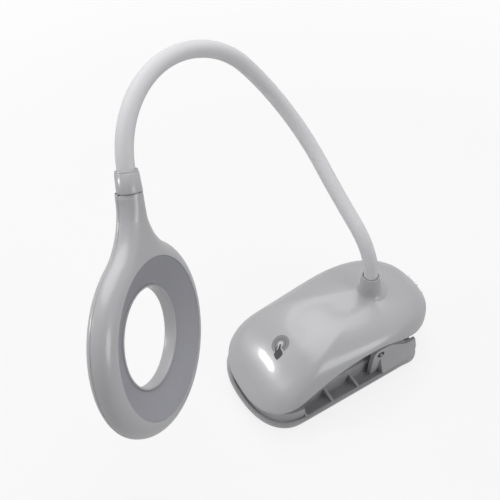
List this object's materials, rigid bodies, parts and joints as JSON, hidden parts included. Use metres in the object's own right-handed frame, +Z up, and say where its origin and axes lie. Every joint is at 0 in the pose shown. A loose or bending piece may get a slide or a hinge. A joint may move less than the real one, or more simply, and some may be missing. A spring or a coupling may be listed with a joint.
{
  "type": "clip-on reading lamp",
  "caption": "Rechargeable reading lamp with a domed spring-clip base, a bendable arm in a soft sleeve and a ring-shaped head with a dished diffuser round a through hole.",
  "frame": {"origin": "centre of the lower jaw's flat underside, on the centre line and level with the middle of the base", "axes": "+Z up, -Y towards the nose of the base, +X to the side seen in the picture; the clip pivots about a line along X"},
  "size_m": [0.1124, 0.2073, 0.1953],
  "materials": {
    "shell_plastic": "gloss",
    "jaw_plastic": "satin",
    "grip_rubber": "matte",
    "steel": "satin",
    "spring_steel": "satin",
    "cell_case": "satin",
    "circuit_board": "matte",
    "chips": "matte",
    "contact_metal": "satin",
    "signal_lens": "gloss",
    "sleeve_silicone": "matte",
    "spine_steel": "satin",
    "lead_copper": "satin",
    "head_plastic": "gloss",
    "diffuser_plastic": "frosted",
    "led_chip": "gloss"
  },
  "bodies": {
    "jaw": {"lower_jaw": "jaw_plastic", "lower_pad": "grip_rubber", "pivot_pin": "steel", "torsion_spring": "spring_steel"},
    "base": {"top_shell": "shell_plastic", "base_cover": "shell_plastic", "cover_screws": "steel", "battery_cell": "cell_case", "control_board": "circuit_board", "driver_parts": "chips", "touch_electrode": "contact_metal", "charge_board": "circuit_board", "charge_socket": "steel", "charge_light": "signal_lens", "upper_pad": "grip_rubber", "arm_nut": "steel", "arm_sleeve_1": "sleeve_silicone", "arm_spine_1": "spine_steel", "arm_leads_1": "lead_copper"},
    "arm_2": {"arm_sleeve_2": "sleeve_silicone", "arm_spine_2": "spine_steel", "arm_leads_2": "lead_copper"},
    "arm_3": {"arm_sleeve_3": "sleeve_silicone", "arm_spine_3": "spine_steel", "arm_leads_3": "lead_copper"},
    "arm_4": {"arm_sleeve_4": "sleeve_silicone", "arm_spine_4": "spine_steel", "arm_leads_4": "lead_copper"},
    "arm_5": {"arm_sleeve_5": "sleeve_silicone", "arm_spine_5": "spine_steel", "arm_leads_5": "lead_copper"},
    "arm_6": {"arm_sleeve_6": "sleeve_silicone", "arm_spine_6": "spine_steel", "arm_leads_6": "lead_copper"},
    "head": {"arm_sleeve_7": "sleeve_silicone", "arm_spine_7": "spine_steel", "arm_leads_7": "lead_copper", "head_front": "head_plastic", "head_back": "head_plastic", "diffuser": "diffuser_plastic", "led_board": "circuit_board", "leds": "led_chip", "head_screws": "steel", "head_leads": "lead_copper"}
  },
  "joints": [
    {"name": "jaw_hinge", "type": "hinge", "parent": "jaw", "child": "base", "pos_m": [0, 0.0184, 0.0218], "axis": [-1, 0, 0], "range_deg": [0, 15], "stiffness_Nm_per_rad": 1, "springref_deg": -45.84, "deforming": ["torsion_spring"]},
    {"name": "arm_bend_1", "type": "hinge", "parent": "base", "child": "arm_2", "pos_m": [-0.01478, 0.02096, 0.09295], "axis": [0.095, -0.9907, -0.0973], "range_deg": [-20, 20]},
    {"name": "arm_bend_2", "type": "hinge", "parent": "arm_2", "child": "arm_3", "pos_m": [-0.04178, 0.0165, 0.11566], "axis": [0.4974, -0.7547, 0.4278], "range_deg": [-20, 6]},
    {"name": "arm_bend_3", "type": "hinge", "parent": "arm_3", "child": "arm_4", "pos_m": [-0.06379, 0.00698, 0.14158], "axis": [0.3725, 0.7053, 0.6031], "range_deg": [-25, 4]},
    {"name": "arm_bend_4", "type": "hinge", "parent": "arm_4", "child": "arm_5", "pos_m": [-0.07373, -0.01182, 0.1697], "axis": [0.3722, -0.7391, -0.5614], "range_deg": [-20, 20]},
    {"name": "arm_bend_5", "type": "hinge", "parent": "arm_5", "child": "arm_6", "pos_m": [-0.0719, -0.04085, 0.18903], "axis": [0.7676, 0.3003, 0.5662], "range_deg": [-25, 6]},
    {"name": "arm_bend_6", "type": "hinge", "parent": "arm_6", "child": "head", "pos_m": [-0.0587, -0.07303, 0.1882], "axis": [0.2106, 0.4869, -0.8477], "range_deg": [-20, 20]}
  ]
}
